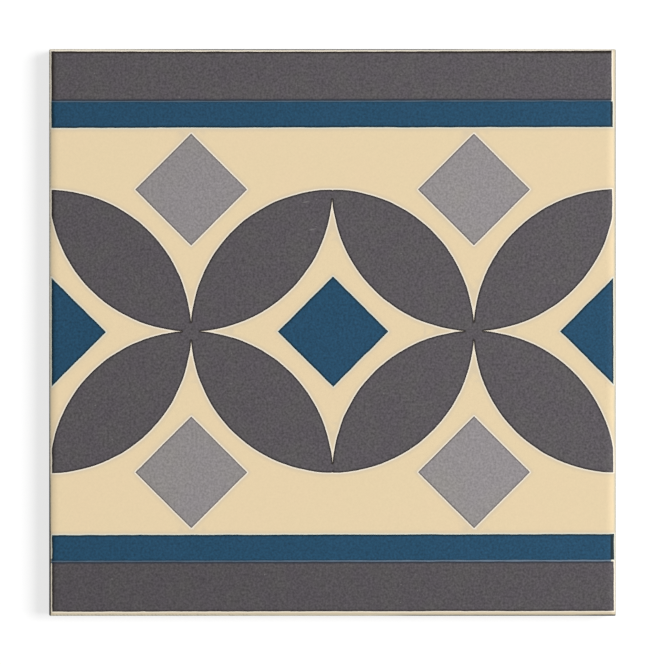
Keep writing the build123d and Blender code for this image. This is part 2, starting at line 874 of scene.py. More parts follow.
    def printed(self) -> list[tuple[np.ndarray, Surface]]:
        """Print every motif through its screen.

        Returns:
            The outlines as they lie on the tile, cut to the screen and wandering, with the glaze of each.
        """
        noise.seed_set(self.seed)
        screens = {int(screen.glaze): screen for screen in self.screens}
        prints = []
        for points, label in self.draw():
            screen = screens[label]
            cut = divided(clipped(points, screen), self.sizes.step)
            prints.append((self._through(screen, cut), screen.glaze))
        return prints

    def _through(self, screen: Screen, points: np.ndarray) -> np.ndarray:
        """Let an outline's upper border sag, turn and shift it as its screen sits, and let it wander.

        Args:
            screen: The screen that prints the outline.
            points: The outline's points in order.

        Returns:
            The points as they lie on the tile.
        """
        cosine, sine = math.cos(screen.turn), math.sin(screen.turn)
        on_border = points[:, 1] > screen.upper - ON_LINE
        dips = on_border * screen.sag * np.clip(1 - (points[:, 0] / screen.left) ** 2, 0.0, 1.0)
        dipped = points - np.outer(dips, (0.0, 1.0))
        turned = dipped @ np.array([[cosine, sine], [-sine, cosine]]) + np.array(screen.shift)
        wandered = []
        for x, y in turned:
            pull = Vector((0.0, 0.0, 0.0))
            for share, length in ((1.0, screen.wander_length), (0.5, screen.wander_length / 4)):
                pull += share * noise.noise_vector(Vector((x / length, y / length, screen.seed)))
            wandered.append((x + screen.wander * pull.x, y + screen.wander * pull.y))
        return np.array(wandered)


@dataclass
class TileFace:
    """The face as a flat plan: the figure's outlines, and points that let it roll and swell."""

    body: BodySizes
    prints: list[tuple[np.ndarray, Surface]]
    outline: np.ndarray
    seam_middle: float
    print_lift: float = 0.5
    seam_reach: float = 0.8
    seam_ends: tuple[float, float] = (-99.15, 98.3)
    edge_rows: tuple[tuple[float, int], ...] = ((0.12, 1), (0.35, 1), (0.75, 2))
    arris_shares: tuple[float, ...] = (0.06, 0.22, 0.5, 0.85, 1.15)
    cushion_shares: tuple[float, ...] = (0.22, 0.34, 0.48, 0.63, 0.8, 1.0, 1.15, 1.4)
    side_margin: float = 0.02
    least_spacing: float = 0.07
    least_spot: float = 0.2
    grid_pitch: float = 4.0

    def plan(self) -> tuple[Plan, np.ndarray, dict[str, np.ndarray]]:
        """Triangulate the face.

        Returns:
            The plan, the skin of each triangle, and for each point its seam, 1 where stripe and band
            leave a seam between them, and its distances from the nearest edge of any print, of a blue
            one, and of a seam.
        """
        places, edges = [self.outline], [closed_edges(0, len(self.outline))]
        count = len(self.outline)
        for points, _ in self.prints:
            places.append(points)
            edges.append(closed_edges(count, len(points)))
            count += len(points)
        places.append(self._free_points(np.concatenate(places)))
        plan = triangulate(np.concatenate(places), np.concatenate(edges))
        skins = self._skins(plan)
        centres = plan.places[plan.triangles].mean(axis=1)
        off_middle = np.abs(centres[:, 1] - self.print_lift) - self.seam_middle
        start, end = self.seam_ends
        in_run = (centres[:, 0] > start) & (centres[:, 0] < end)
        seam_cells = (np.abs(off_middle) < self.seam_reach) & in_run
        seam_cells &= skins == Surface.GROUND
        seams = np.zeros(len(plan.places))
        seams[plan.triangles[seam_cells].ravel()] = 1.0
        return plan, skins, {"seam": seams, **self._edge_distances(plan, np.where(seam_cells, SEAM, skins))}

    def _free_points(self, fixed: np.ndarray) -> np.ndarray:
        """Points along both sides of each print edge, on rings down the cushion and on a grid.

        Args:
            fixed: Points of the outlines, which the others stay clear of.

        Returns:
            One row of X and Y for each point.
        """
        free = []
        for points, _ in self.prints:
            along = np.roll(points, -1, axis=0) - np.roll(points, 1, axis=0)
            along /= np.linalg.norm(along, axis=1)[:, None]
            across = np.stack([along[:, 1], -along[:, 0]], 1)
            for row, every in self.edge_rows:
                free += [(points + row * across)[::every], (points - row * across)[::every]]
        body = self.body
        insets = [body.arris_end * share for share in self.arris_shares]
        insets += [body.cushion_width * share for share in self.cushion_shares]
        corner = body.plan_corner_radius
        free += [rounded_ring(body.half_side - inset, corner, SIDE_STEPS, CORNER_STEPS) for inset in insets]
        reach = body.half_side - self.cushion_shares[-1] * body.cushion_width
        line = np.arange(-reach, reach, self.grid_pitch)
        free.append(np.stack(np.meshgrid(line, line + 0.5 * self.grid_pitch), -1).reshape(-1, 2))
        free.append(np.stack(np.meshgrid(line + 0.5 * self.grid_pitch, line), -1).reshape(-1, 2))
        tree = KDTree(len(fixed))
        for number, (x, y) in enumerate(fixed):
            tree.insert((x, y, 0.0), number)
        tree.balance()
        most = body.half_side - self.side_margin
        points = np.concatenate(free)
        points = points[np.abs(points).max(axis=1) < most]
        clear = [tree.find((x, y, 0.0))[2] > self.least_spacing for x, y in points]
        return points[clear]

    def _skins(self, plan: Plan) -> np.ndarray:
        """Flood the plan between borders, and ask once for each flooded cell which print holds it.

        A bare cell smaller than the least spot is closed: the glaze beside it runs over it.

        Args:
            plan: The triangulated face.

        Returns:
            The skin of each triangle.
        """
        triangles = plan.triangles
        sides: dict[tuple[int, int], list[int]] = {}
        for number, corners in enumerate(triangles.tolist()):
            for first, second in ((0, 1), (1, 2), (2, 0)):
                key = tuple(sorted((corners[first], corners[second])))
                sides.setdefault(key, []).append(number)
        beside: list[list[int]] = [[] for _ in triangles]
        open_ways: list[list[int]] = [[] for _ in triangles]
        for key, pair in sides.items():
            if len(pair) == 2:
                for ways in (beside,) if key in plan.borders else (beside, open_ways):
                    ways[pair[0]].append(pair[1])
                    ways[pair[1]].append(pair[0])
        corners = plan.places[triangles]
        centres = corners.mean(axis=1)
        arms = corners[:, 1:] - corners[:, :1]
        areas = np.abs(arms[:, 0, 0] * arms[:, 1, 1] - arms[:, 0, 1] * arms[:, 1, 0])
        skins = np.full(len(triangles), -1)
        spots = []
        for seed in range(len(triangles)):
            if skins[seed] >= 0:
                continue
            cell, waiting = [], deque([seed])
            skins[seed] = Surface.GROUND
            while waiting:
                here = waiting.popleft()
                cell.append(here)
                for other in open_ways[here]:
                    if skins[other] < 0:
                        skins[other] = Surface.GROUND
                        waiting.append(other)
            largest = cell[int(np.argmax(areas[cell]))]
            for points, glaze in self.prints:
                if inside(points, centres[largest]):
                    skins[cell] = glaze
            if skins[seed] == Surface.GROUND and areas[cell].sum() < 2 * self.least_spot:
                spots.append(cell)
        for cell in spots:
            skins[cell] = max(skins[other] for here in cell for other in beside[here])
        return skins

    def _edge_distances(self, plan: Plan, kinds: np.ndarray) -> dict[str, np.ndarray]:
        """Measure how far each point is from where one kind of skin meets another.

        Args:
            plan: The triangulated face.
            kinds: The skin of each triangle, or the seam's number.

        Returns:
            Distances in millimetres from the edges of all prints, of blue prints, and of the seams.
        """
        seen: dict[tuple[int, int], int] = {}
        names = ("edge_distance", "blue_distance", "seam_distance")
        edges: dict[str, list[tuple[int, int]]] = {name: [] for name in names}
        for corners, kind in zip(plan.triangles.tolist(), kinds.tolist()):
            for first, second in ((0, 1), (1, 2), (2, 0)):
                key = tuple(sorted((corners[first], corners[second])))
                pair = {seen.setdefault(key, kind), kind}
                if len(pair) == 1 or pair == {SEAM, int(Surface.GROUND)}:
                    continue
                edges["seam_distance" if SEAM in pair else "edge_distance"].append(key)
                if pair == {int(Surface.BLUE), int(Surface.GROUND)}:
                    edges["blue_distance"].append(key)
        return {name: self._distances_from(plan, pairs) for name, pairs in edges.items()}

    @staticmethod
    def _distances_from(plan: Plan, pairs: list[tuple[int, int]]) -> np.ndarray:
        """Measure each point's distance from the nearest of some edges.

        Args:
            plan: The triangulated face.
            pairs: The edges, each as a pair of point numbers.

        Returns:
            One distance for each point, in millimetres.
        """
        ends = plan.places[np.array(pairs)]
        shares = (0.0, 0.25, 0.5, 0.75, 1.0)
        samples = np.concatenate([ends[:, 0] + share * (ends[:, 1] - ends[:, 0]) for share in shares])
        tree = KDTree(len(samples))
        for number, (x, y) in enumerate(samples):
            tree.insert((x, y, 0.0), number)
        tree.balance()
        return np.array([tree.find((x, y, 0.0))[2] for x, y in plan.places])


@dataclass
class KeyedBack:
    """The back as a flat plan with a raise at each point: pockets between ribs, inside a rim."""

    body: BodySizes
    outline: np.ndarray
    biscuit: bpy.types.Material
    wall_profile: tuple[Point, ...] = (
        (-0.5, 0.0),
        (-0.22, 0.0),
        (0.02, 0.06),
        (0.4, 0.72),
        (0.72, 1.0),
        (1.0, 1.0),
    )
    heel_land: float = 0.5

    def plan(self) -> tuple[Plan, np.ndarray]:
        """Triangulate the back.

        Returns:
            The plan, and each point's raise as a share of the pocket's depth.
        """
        loops = self._pocket_loops()
        ring_length = len(self.outline)
        places = [self.outline, self.outline * (1 - self.heel_land / self.body.half_side)]
        edges = [closed_edges(0, ring_length), closed_edges(ring_length, ring_length)]
        count = 2 * ring_length
        raises = [np.zeros(count)]
        for points, step in loops:
            places.append(points)
            edges.append(closed_edges(count, len(points)))
            raises.append(np.full(len(points), self.wall_profile[step][1]))
            count += len(points)
        plan = triangulate(np.concatenate(places), np.concatenate(edges))
        raised = np.zeros(len(plan.places))
        raised[plan.index_of] = np.concatenate(raises)
        return plan, raised

    def _pocket_loops(self) -> list[tuple[np.ndarray, int]]:
        """Draw every pocket's outlines with a tree that repeats one pocket.

        Returns:
            The outlines, each with its step down the pocket's wall.
        """
        body = self.body
        sheet = GeometrySheet("keyed_back")
        mouth = sheet.size("Pocket Side", body.pocket_side)
        radius = sheet.size("Pocket Corner Radius", body.pocket_corner_radius)
        rings = []
        for step, (inset, _) in enumerate(self.wall_profile):
            outline = sheet.node("GeometryNodeCurvePrimitiveQuadrilateral")
            side = sheet.math("SUBTRACT", mouth, 2 * inset)
            sheet.fill(outline, Width=side, Height=side)
            rounded = sheet.node("GeometryNodeFilletCurve")
            if "Mode" in rounded.inputs:
                rounded.inputs["Mode"].default_value = "Poly"
            else:
                rounded.mode = "POLY"
            inner = sheet.math("SUBTRACT", radius, inset)
            sheet.fill(rounded, Curve=outline.outputs[0], Radius=inner, Count=3)
            rings.append(sheet.store(sheet.outline(rounded.outputs[0]), "label", step, "INT"))
        rows = sheet.count("Pocket Rows", body.pocket_rows)
        pitch = sheet.size("Pocket Pitch", body.pocket_pitch)
        span = sheet.math("MULTIPLY", pitch, sheet.math("SUBTRACT", rows, 1.0))
        grid = sheet.node("GeometryNodeMeshGrid")
        sheet.fill(grid, Size_X=span, Size_Y=span, Vertices_X=rows, Vertices_Y=rows)
        pockets = sheet.repeat(grid.outputs[0], sheet.join(*rings))
        sheet.finish(pockets, [self.biscuit] * len(rings), "label")
        return loops_of(sheet.run(bpy.data.meshes.new("keyed_back")))


@dataclass
class FloorTile:
    """The whole fired tile: face, sides and back as one closed mesh in five finishes."""

    body: BodySizes
    figure: PrintedFigure
    materials: list[bpy.types.Material]
    arris_row: Point = (0.3, 0.6)
    biscuit_drops: tuple[float, ...] = (0.5, 1.5, 2.8, 4.1)
    heel_rows: tuple[Point, ...] = ((1.15, 0.0), (0.85, 0.1), (0.12, 0.8))
    heel_corner_share: float = 0.6
    corner_loss: float = 0.3
    map_face: float = 0.74
    map_gap: float = 0.005
    map_strip: float = 0.03
    map_strip_fill: float = 0.8

    def build(self) -> bpy.types.Object:
        """Lay out the flat plans, press them into the tile and put it in the CAD node's place.

        Returns:
            The finished object.
        """
        mesh = self._blank()
        pressed = self._press().run(mesh)
        pressed.name = NODE
        tile = bpy.data.objects.new("printed_tile", pressed)
        bpy.context.scene.collection.objects.link(tile)
        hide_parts(NODE)
        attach(tile, "root")
        return tile

    def _side_rows(self) -> list[tuple[float, float, float]]:
        """Lay out the rows down the sides, from the arris to the heel.

        Returns:
            For each row its height, its inset from the side, and its share of the face's own fall.
        """
        body = self.body
        below_arris, fall_share = self.arris_row
        rows = [(body.height - body.arris_fall - below_arris, 0.0, fall_share), (body.glaze_line, 0.0, 0.0)]
        rows += [(body.glaze_line - drop, 0.0, 0.0) for drop in self.biscuit_drops]
        rows += [(up * body.heel_bevel, inward * body.heel_bevel, 0.0) for up, inward in self.heel_rows]
        return rows

    def _blank(self) -> bpy.types.Mesh:
        """Make the unpressed mesh, a slab with flat face and back, and what the press reads on it.

        Returns:
            The mesh with its zone, skin, distance and raise attributes and its map.
        """
        body = self.body
        corner = body.plan_corner_radius
        outline = rounded_ring(body.half_side, corner, SIDE_STEPS, CORNER_STEPS)
        heel_corner = self.heel_corner_share * corner
        heel = rounded_ring(body.half_side - body.heel_bevel, heel_corner, SIDE_STEPS, CORNER_STEPS)
        seam_middle = self.figure.sizes.seam_middle
        face, skins, traces = TileFace(body, self.figure.printed(), outline, seam_middle).plan()
        back, raised = KeyedBack(body, heel, self.materials[Surface.BISCUIT]).plan()
        rows = self._side_rows()
        ring_length = len(outline)
        places = [np.column_stack([face.places, np.full(len(face.places), body.height)])]
        for height, inset, _ in rows:
            ring_corner = corner - self.corner_loss * inset
            ring = rounded_ring(body.half_side - inset, ring_corner, SIDE_STEPS, CORNER_STEPS)
            places.append(np.column_stack([ring, np.full(ring_length, height)]))
        places.append(np.column_stack([back.places, np.zeros(len(back.places))]))
        places = np.concatenate(places)
        face_count, back_start = len(face.places), len(places) - len(back.places)
        order = np.arange(ring_length)
        levels = [face.index_of[order]]
        levels += [face_count + number * ring_length + order for number in range(len(rows))]
        levels.append(back_start + back.index_of[order])
        faces = face.triangles.tolist()
        for upper, lower in zip(levels, levels[1:]):
            following_upper, following_lower = np.roll(upper, -1), np.roll(lower, -1)
            faces += np.stack([upper, lower, following_lower, following_upper], 1).tolist()
        faces += (back.triangles[:, ::-1] + back_start).tolist()
        mesh = bpy.data.meshes.new("tile_blank")
        mesh.from_pydata((places * MM).tolist(), [], faces)
        mesh.shade_smooth()
        mesh.materials.append(self.materials[0])
        zones = np.full(len(places), int(Zone.SIDE))
        zones[:face_count], zones[back_start:] = Zone.FACE, Zone.BACK
        self._write(mesh, "zone", "INT", "POINT", zones)
        side_quads = len(levels[1:]) * ring_length
        glazed_quads = 2 * ring_length
        skin = np.concatenate([
            skins,
            np.full(glazed_quads, int(Surface.GROUND)),
            np.full(side_quads - glazed_quads + len(back.triangles), int(Surface.BISCUIT)),
        ])
        self._write(mesh, "skin", "INT", "FACE", skin)
        self._trace_prints(mesh, face, skins, traces)
        fall_share = np.ones(len(places))
        fall_share[face_count:back_start] = np.repeat([row[2] for row in rows], ring_length)
        self._write(mesh, "fall_share", "FLOAT", "POINT", fall_share)
        lift = np.zeros(len(places))
        lift[back_start:] = raised
        self._write(mesh, "raise", "FLOAT", "POINT", lift)
        self._unfold(mesh, len(face.triangles), side_quads, ring_length)
        return mesh

    def _trace_prints(
        self, mesh: bpy.types.Mesh, face: Plan, skins: np.ndarray, traces: dict[str, np.ndarray]
    ) -> None:
        """Store how far each point is from the prints' edges, and how far a print swells there.

        Args:
            mesh: The mesh, whose first points are the face's.
            face: The face's plan.
            skins: The skin of each of its triangles.
            traces: The seam and the distances, in millimetres, of each of its points.
        """
        count = len(mesh.vertices)
        for name, values in traces.items():
            beyond, unit = (0.0, 1.0) if name == "seam" else (FAR, MM)
            spread = np.full(count, beyond)
            spread[: len(values)] = values
            self._write(mesh, name, "FLOAT", "POINT", spread * unit)
        to_edge = np.minimum(traces["edge_distance"], traces["seam_distance"])
        swell = np.zeros(count)
        swell[: len(to_edge)] = np.clip(to_edge / self.body.print_shoulder, 0, 1)
        swell[face.triangles[skins == Surface.GROUND].ravel()] = 0.0
        self._write(mesh, "swell", "FLOAT", "POINT", swell)

    @staticmethod
    def _write(mesh: bpy.types.Mesh, name: str, kind: str, domain: str, values: np.ndarray) -> None:
        """Store values as a named attribute of the mesh.

        Args:
            mesh: The mesh.
            name: The attribute's name.
            kind: Its type.
            domain: What it belongs to, points or faces.
            values: One value for each of them.
        """
        layer = mesh.attributes.new(name, kind, domain)
        kind_of_number = np.int32 if kind == "INT" else np.float32
        layer.data.foreach_set("value", np.ascontiguousarray(values, kind_of_number))

    def _unfold(self, mesh: bpy.types.Mesh, face_count: int, side_count: int, ring_length: int) -> None:
        """Lay the face, the four sides and the back side by side on the bake's map.

        Args:
            mesh: The mesh to map.
            face_count: Number of triangles in the face, which come first.
            side_count: Number of quads in the sides, which come next.
            ring_length: Number of quads in one row of the sides.
        """
        half = self.body.half_side * MM
        face_share, gap, strip = self.map_face, self.map_gap, self.map_strip
        corner_total = len(mesh.loops)
        corners = np.empty(corner_total, int)
        mesh.loops.foreach_get("vertex_index", corners)
        places = np.empty(len(mesh.vertices) * 3)
        mesh.vertices.foreach_get("co", places)
        places = places.reshape(-1, 3)[corners]
        flat = (places[:, :2] + half) / (2 * half)
        spots = gap + flat * (face_share - 2 * gap)
        side_start = 3 * face_count
        back_start = side_start + 4 * side_count
        back_share = 1 - face_share - gap
        spots[back_start:] = np.array([face_share, gap]) + flat[back_start:] * (back_share - gap)
        quads = np.arange(side_count)
        side = (quads % ring_length) // (ring_length // 4)
        strips = places[side_start:back_start].reshape(side_count, 4, 3)
        along = np.where((side % 2 == 0)[:, None], strips[:, :, 0], strips[:, :, 1])
        height = strips[:, :, 2] / (self.body.height * MM)
        filled = np.clip(height, 0, 1) * self.map_strip_fill
        across = face_share + gap + (side[:, None] + filled) * strip
        length = back_share + 3 * gap + (along + half) / (2 * half) * (face_share - 6 * gap)
        spots[side_start:back_start] = np.stack([across, length], -1).reshape(-1, 2)
        layer = mesh.uv_layers.new(name=UV_MAP)
        layer.data.foreach_set("uv", spots.ravel().astype(np.float32))

    def _press(self) -> GeometrySheet:
        """Make the tree that presses the flat slab: cushion, arris, print swell, pockets, glaze line.

        Returns:
            The tree, ready to run.
        """
        body = self.body
        sheet = GeometrySheet("pressed_tile")
        half = sheet.size("Half Side", body.half_side * MM)
        width = sheet.size("Cushion Width", body.cushion_width * MM)
        wide_radius = sheet.size("Cushion Radius", body.cushion_radius * MM)
        tight_radius = sheet.size("Arris Radius", body.arris_radius * MM)
        arris_fall = sheet.size("Arris Fall", body.arris_fall * MM)
        arris_end = sheet.size("Arris End", body.arris_end * MM)
        blend = sheet.size("Corner Blend", body.corner_blend)
        relief = sheet.size("Print Relief", body.print_relief * MM)
        depth = sheet.size("Pocket Depth", body.pocket_depth * MM)
        wander = sheet.size("Glaze Line Wander", body.glaze_line_wander * MM)
        place = sheet.node("GeometryNodeInputPosition").outputs[0]
        x, y, z = sheet.axes(place)

        def arc_height(radius: Socket, run: Socket) -> Socket:
            """Height of an arc over its centre at a run from its middle."""
            squares = sheet.math("SUBTRACT", sheet.math("POWER", radius, 2.0), sheet.math("POWER", run, 2.0))
            return sheet.math("SQRT", sheet.math("MAXIMUM", squares, 0.0))

        def fall_from(distance: Socket) -> Socket:
            """Work out the fall of the face near one pair of sides.

            Args:
                distance: Distance from the nearer of the two.

            Returns:
                The fall in metres.
            """
            near = sheet.math("MINIMUM", sheet.math("MAXIMUM", distance, 0.0), width)
            cushion_run = sheet.math("SUBTRACT", width, near)
            cushion = sheet.math("SUBTRACT", wide_radius, arc_height(wide_radius, cushion_run))
            arris_run = sheet.math("MAXIMUM", sheet.math("SUBTRACT", tight_radius, near), 0.0)
            arris = sheet.math("SUBTRACT", arris_fall, arc_height(tight_radius, arris_run))
            on_arris = sheet.math("LESS_THAN", near, arris_end)
            step = sheet.math("SUBTRACT", arris, cushion)
            return sheet.math("MULTIPLY_ADD", step, on_arris, cushion)

        falls = []
        for axis in (x, y):
            distance = sheet.math("SUBTRACT", half, sheet.math("ABSOLUTE", axis))
            falls.append(sheet.math("POWER", sheet.math("DIVIDE", fall_from(distance), MM), blend))
        fall = sheet.math("POWER", sheet.total(*falls), sheet.math("DIVIDE", 1.0, blend))
        fall = sheet.math("MULTIPLY", fall, MM)
        zone = sheet.attribute("zone", "INT")
        on_face = sheet.math("COMPARE", zone, float(Zone.FACE), sheet.SAME_NUMBER)
        on_side = sheet.math("COMPARE", zone, float(Zone.SIDE), sheet.SAME_NUMBER)
        swell = sheet.math("MULTIPLY", sheet.attribute("swell"), relief)
        face_move = sheet.math("MULTIPLY", sheet.math("SUBTRACT", swell, fall), on_face)
        waves = sheet.noise(place, body.glaze_line_wave * MM, 2.0, 3.0)
        wandering = sheet.math("SUBTRACT", waves, 0.5)
        off_line = sheet.math("ABSOLUTE", sheet.math("SUBTRACT", z, body.glaze_line * MM))
        near_line = sheet.ramp(off_line, 0.0, body.glaze_line_reach * MM, 1.0, 0.0)
        own_fall = sheet.math("SUBTRACT", fall, arris_fall)
        own_fall = sheet.math("MULTIPLY", own_fall, sheet.attribute("fall_share"))
        line_move = sheet.math("MULTIPLY", sheet.math("MULTIPLY", wandering, wander), near_line)
        side_move = sheet.math("MULTIPLY", sheet.math("SUBTRACT", line_move, own_fall), on_side)
        pocket = sheet.math("MULTIPLY", sheet.attribute("raise"), depth)
        shift = sheet.vector(0.0, 0.0, sheet.total(face_move, side_move, pocket))
        moved = sheet.node("GeometryNodeSetPosition")
        sheet.fill(moved, Geometry=sheet.way_in.outputs[0], Offset=shift)
        sheet.finish(moved.outputs[0], self.materials, "skin")
        return sheet


class MaterialSheet(NodeSheet):
    """A material's tree round one Principled shader, in the object's own coordinates."""

    SPECK_CORE = 0.4
    NOISE_GAIN = 3.0

    def __init__(self, name: str) -> None:
        """Start a material.

        Args:
            name: The material's name.
        """
        self.material = bpy.data.materials.new(name)
        self.material.use_nodes = True
        super().__init__(self.material.node_tree)
        self.shader = self.tree.nodes["Principled BSDF"]
        self.place = self.node("ShaderNodeTexCoord").outputs["Object"]

    def mesh_value(self, name: str) -> Socket:
        """Read a number stored on the mesh."""
        return self.node("ShaderNodeAttribute", attribute_name=name).outputs["Fac"]

    def shaded(self, colour: Socket, share: object) -> Socket:
        """Make a colour lighter or darker.

        Args:
            colour: The colour.
            share: By which share of itself, above 0 for lighter.

        Returns:
            The new colour.
        """
        scale = self.math("ADD", share, 1.0)
        made = self.node("ShaderNodeVectorMath", operation="SCALE")
        self.feed(made.inputs[0], colour)
        self.feed(made.inputs["Scale"], scale)
        return made.outputs[0]

    def either_way(self, place: Socket, grain: float, detail: float, offset: float, reach: float) -> Socket:
        """Noise about zero that mostly stays within a reach either way."""
        centred = self.math("SUBTRACT", self.noise(place, grain, detail, offset), 0.5)
        return self.math("MULTIPLY", centred, self.NOISE_GAIN * reach)

    def specks(
        self,
        spacing: float,
        radius: float,
        share: float,
        stretch: float = 1.0,
        turn: float = 0.0,
        layout: str = "2D",
    ) -> Socket:
        """Sparse specks, 1 inside and 0 outside.

        Args:
            spacing: Distance between the places where a speck may be, in metres.
            radius: Half of a speck's length, in metres.
            share: Share of those places that have one.
            stretch: Length of a speck over its width.
            turn: Direction of a speck's length, in radians.
            layout: 2D for specks in the face alone, 3D for specks all through the body.

        Returns:
            The mask.
        """
        turned = self.node("ShaderNodeMapping", vector_type="TEXTURE")
        self.feed(turned.inputs["Vector"], self.place)
        turned.inputs["Rotation"].default_value = (0.0, 0.0, turn)
        turned.inputs["Scale"].default_value = (stretch, 1.0, 1.0)
        cells = self.node("ShaderNodeTexVoronoi", voronoi_dimensions=layout)
        self.fill(cells, Vector=turned.outputs[0], Scale=1 / spacing)
        core = self.SPECK_CORE * radius / spacing
        near = self.ramp(cells.outputs["Distance"], core, radius / spacing, 1.0, 0.0)
        lot = self.axes(cells.outputs["Color"])[0]
        return self.math("MULTIPLY", near, self.math("LESS_THAN", lot, share))

    def side_distance(self, half: float, side: Side | None = None) -> Socket:
        """Distance from one side of the tile, or from the nearest one.

        Args:
            half: Half of the tile's side.
            side: The side, or None for the nearest.

        Returns:
            The distance.
        """
        places = self.axes(self.place)
        if side is None:
            reaches = [self.math("ABSOLUTE", place) for place in places[:2]]
            return self.math("SUBTRACT", half, self.math("MAXIMUM", *reaches))
        axis, sign = side.value
        return self.math("MULTIPLY_ADD", places[axis], -float(sign), half)

    def relief(self, height: Socket, depth: float) -> None:
        """Bump the shader.

        Args:
            height: The height, 0 to 1.
            depth: What a height of 1 stands for, in metres.
        """
        bump = self.node("ShaderNodeBump")
        self.fill(bump, Strength=1.0, Distance=depth, Height=height)
        self.feed(self.shader.inputs["Normal"], bump.outputs[0])


@dataclass(frozen=True)
class Finish:
    """What every finish has: its colour, the colour its patches lean to, grain and gloss."""

    name: str
    colour: Colour
    patch_colour: Colour
    grain: float
    roughness: float
    bump_depth: float
    gloss: float = 0.15
    grain_size: float = 0.78 * MM
    patch_size: float = 14 * MM
    patch_span: tuple[float, float] = (0.35, 0.7)
    patch_reach: float = 0.5
    roughness_size: float = 2.5 * MM
    roughness_reach: float = 0.06

    def material(self) -> bpy.types.Material:
        """Make the finish.

        Returns:
            The material.
        """
        sheet = MaterialSheet(self.name)
        blots = sheet.noise(sheet.place, self.patch_size, 3.0, 1.0)
        patch = sheet.ramp(blots, *self.patch_span, 0.0, self.patch_reach)
        colour = sheet.mix(patch, self.colour, self.patch_colour)
        grain = sheet.either_way(sheet.place, self.grain_size, 2.0, 2.0, self.grain)
        colour = self._marks(sheet, sheet.shaded(colour, grain))
        sheet.feed(sheet.shader.inputs["Base Color"], colour)
        spread = sheet.either_way(sheet.place, self.roughness_size, 2.0, 3.0, self.roughness_reach)
        sheet.feed(sheet.shader.inputs["Roughness"], sheet.math("ADD", spread, self.roughness))
        sheet.shader.inputs["Specular IOR Level"].default_value = self.gloss
        height = sheet.noise(sheet.place, self.grain_size, 3.0, 4.0)
        sheet.relief(height, self.bump_depth)
        return sheet.material

    def _marks(self, sheet: MaterialSheet, colour: Socket) -> Socket:
        """Add what only this finish has."""
        return colour


@dataclass(frozen=True)
class PaintedArrisShadow:
    """Painted shadow along one arris, in millimetres: where it starts, is full, ends and has gone."""

    side: Side
    run: tuple[float, float, float, float]
    share: float
    width: float = 0.5


